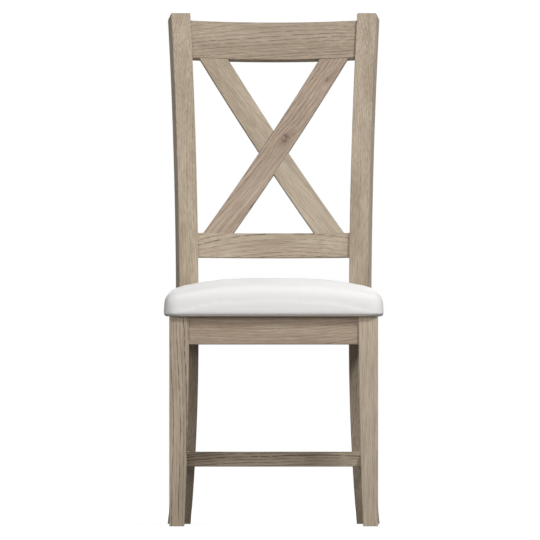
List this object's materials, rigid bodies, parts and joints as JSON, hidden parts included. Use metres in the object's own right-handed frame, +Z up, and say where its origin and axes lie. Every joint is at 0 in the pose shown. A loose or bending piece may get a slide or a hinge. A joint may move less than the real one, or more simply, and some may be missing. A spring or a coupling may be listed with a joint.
{
  "type": "dining chair",
  "caption": "Upholstered dining chair in grey-washed oak with curved rear legs, a bowed cross back, a low stretcher and an off-white seat pad.",
  "frame": {"origin": "on the floor under the middle of the chair's bounding box", "axes": "+Z up, -Y to the front where the sitter faces, +X to the right of someone who looks at the front"},
  "size_m": [0.4482, 0.5572, 1.0496],
  "materials": {
    "washed_oak": "grey-washed, matt",
    "plain_beech": "unfinished",
    "plywood": "unfinished",
    "zinc_steel": "zinc plated",
    "seat_foam": "open cell",
    "seat_cover": "smooth off-white",
    "dust_cloth": "non-woven"
  },
  "bodies": {
    "root": {"left_rear_leg": "washed_oak", "right_rear_leg": "washed_oak", "left_front_leg": "washed_oak", "right_front_leg": "washed_oak", "front_seat_rail": "washed_oak", "rear_seat_rail": "washed_oak", "left_seat_rail": "washed_oak", "right_seat_rail": "washed_oak", "left_side_stretcher": "washed_oak", "right_side_stretcher": "washed_oak", "cross_stretcher": "washed_oak", "crest_rail": "washed_oak", "lower_back_rail": "washed_oak", "rising_brace": "washed_oak", "falling_brace": "washed_oak", "crest_rail_dowels": "plain_beech", "lower_rail_dowels": "plain_beech", "brace_dowels": "plain_beech", "front_left_corner_block": "plain_beech", "front_right_corner_block": "plain_beech", "rear_left_corner_block": "plain_beech", "rear_right_corner_block": "plain_beech", "corner_block_screws": "zinc_steel", "seat_screws": "zinc_steel", "seat_board": "plywood", "seat_foam": "seat_foam", "seat_cover": "seat_cover", "cover_staples": "zinc_steel", "dust_cover": "dust_cloth"}
  },
  "joints": []
}
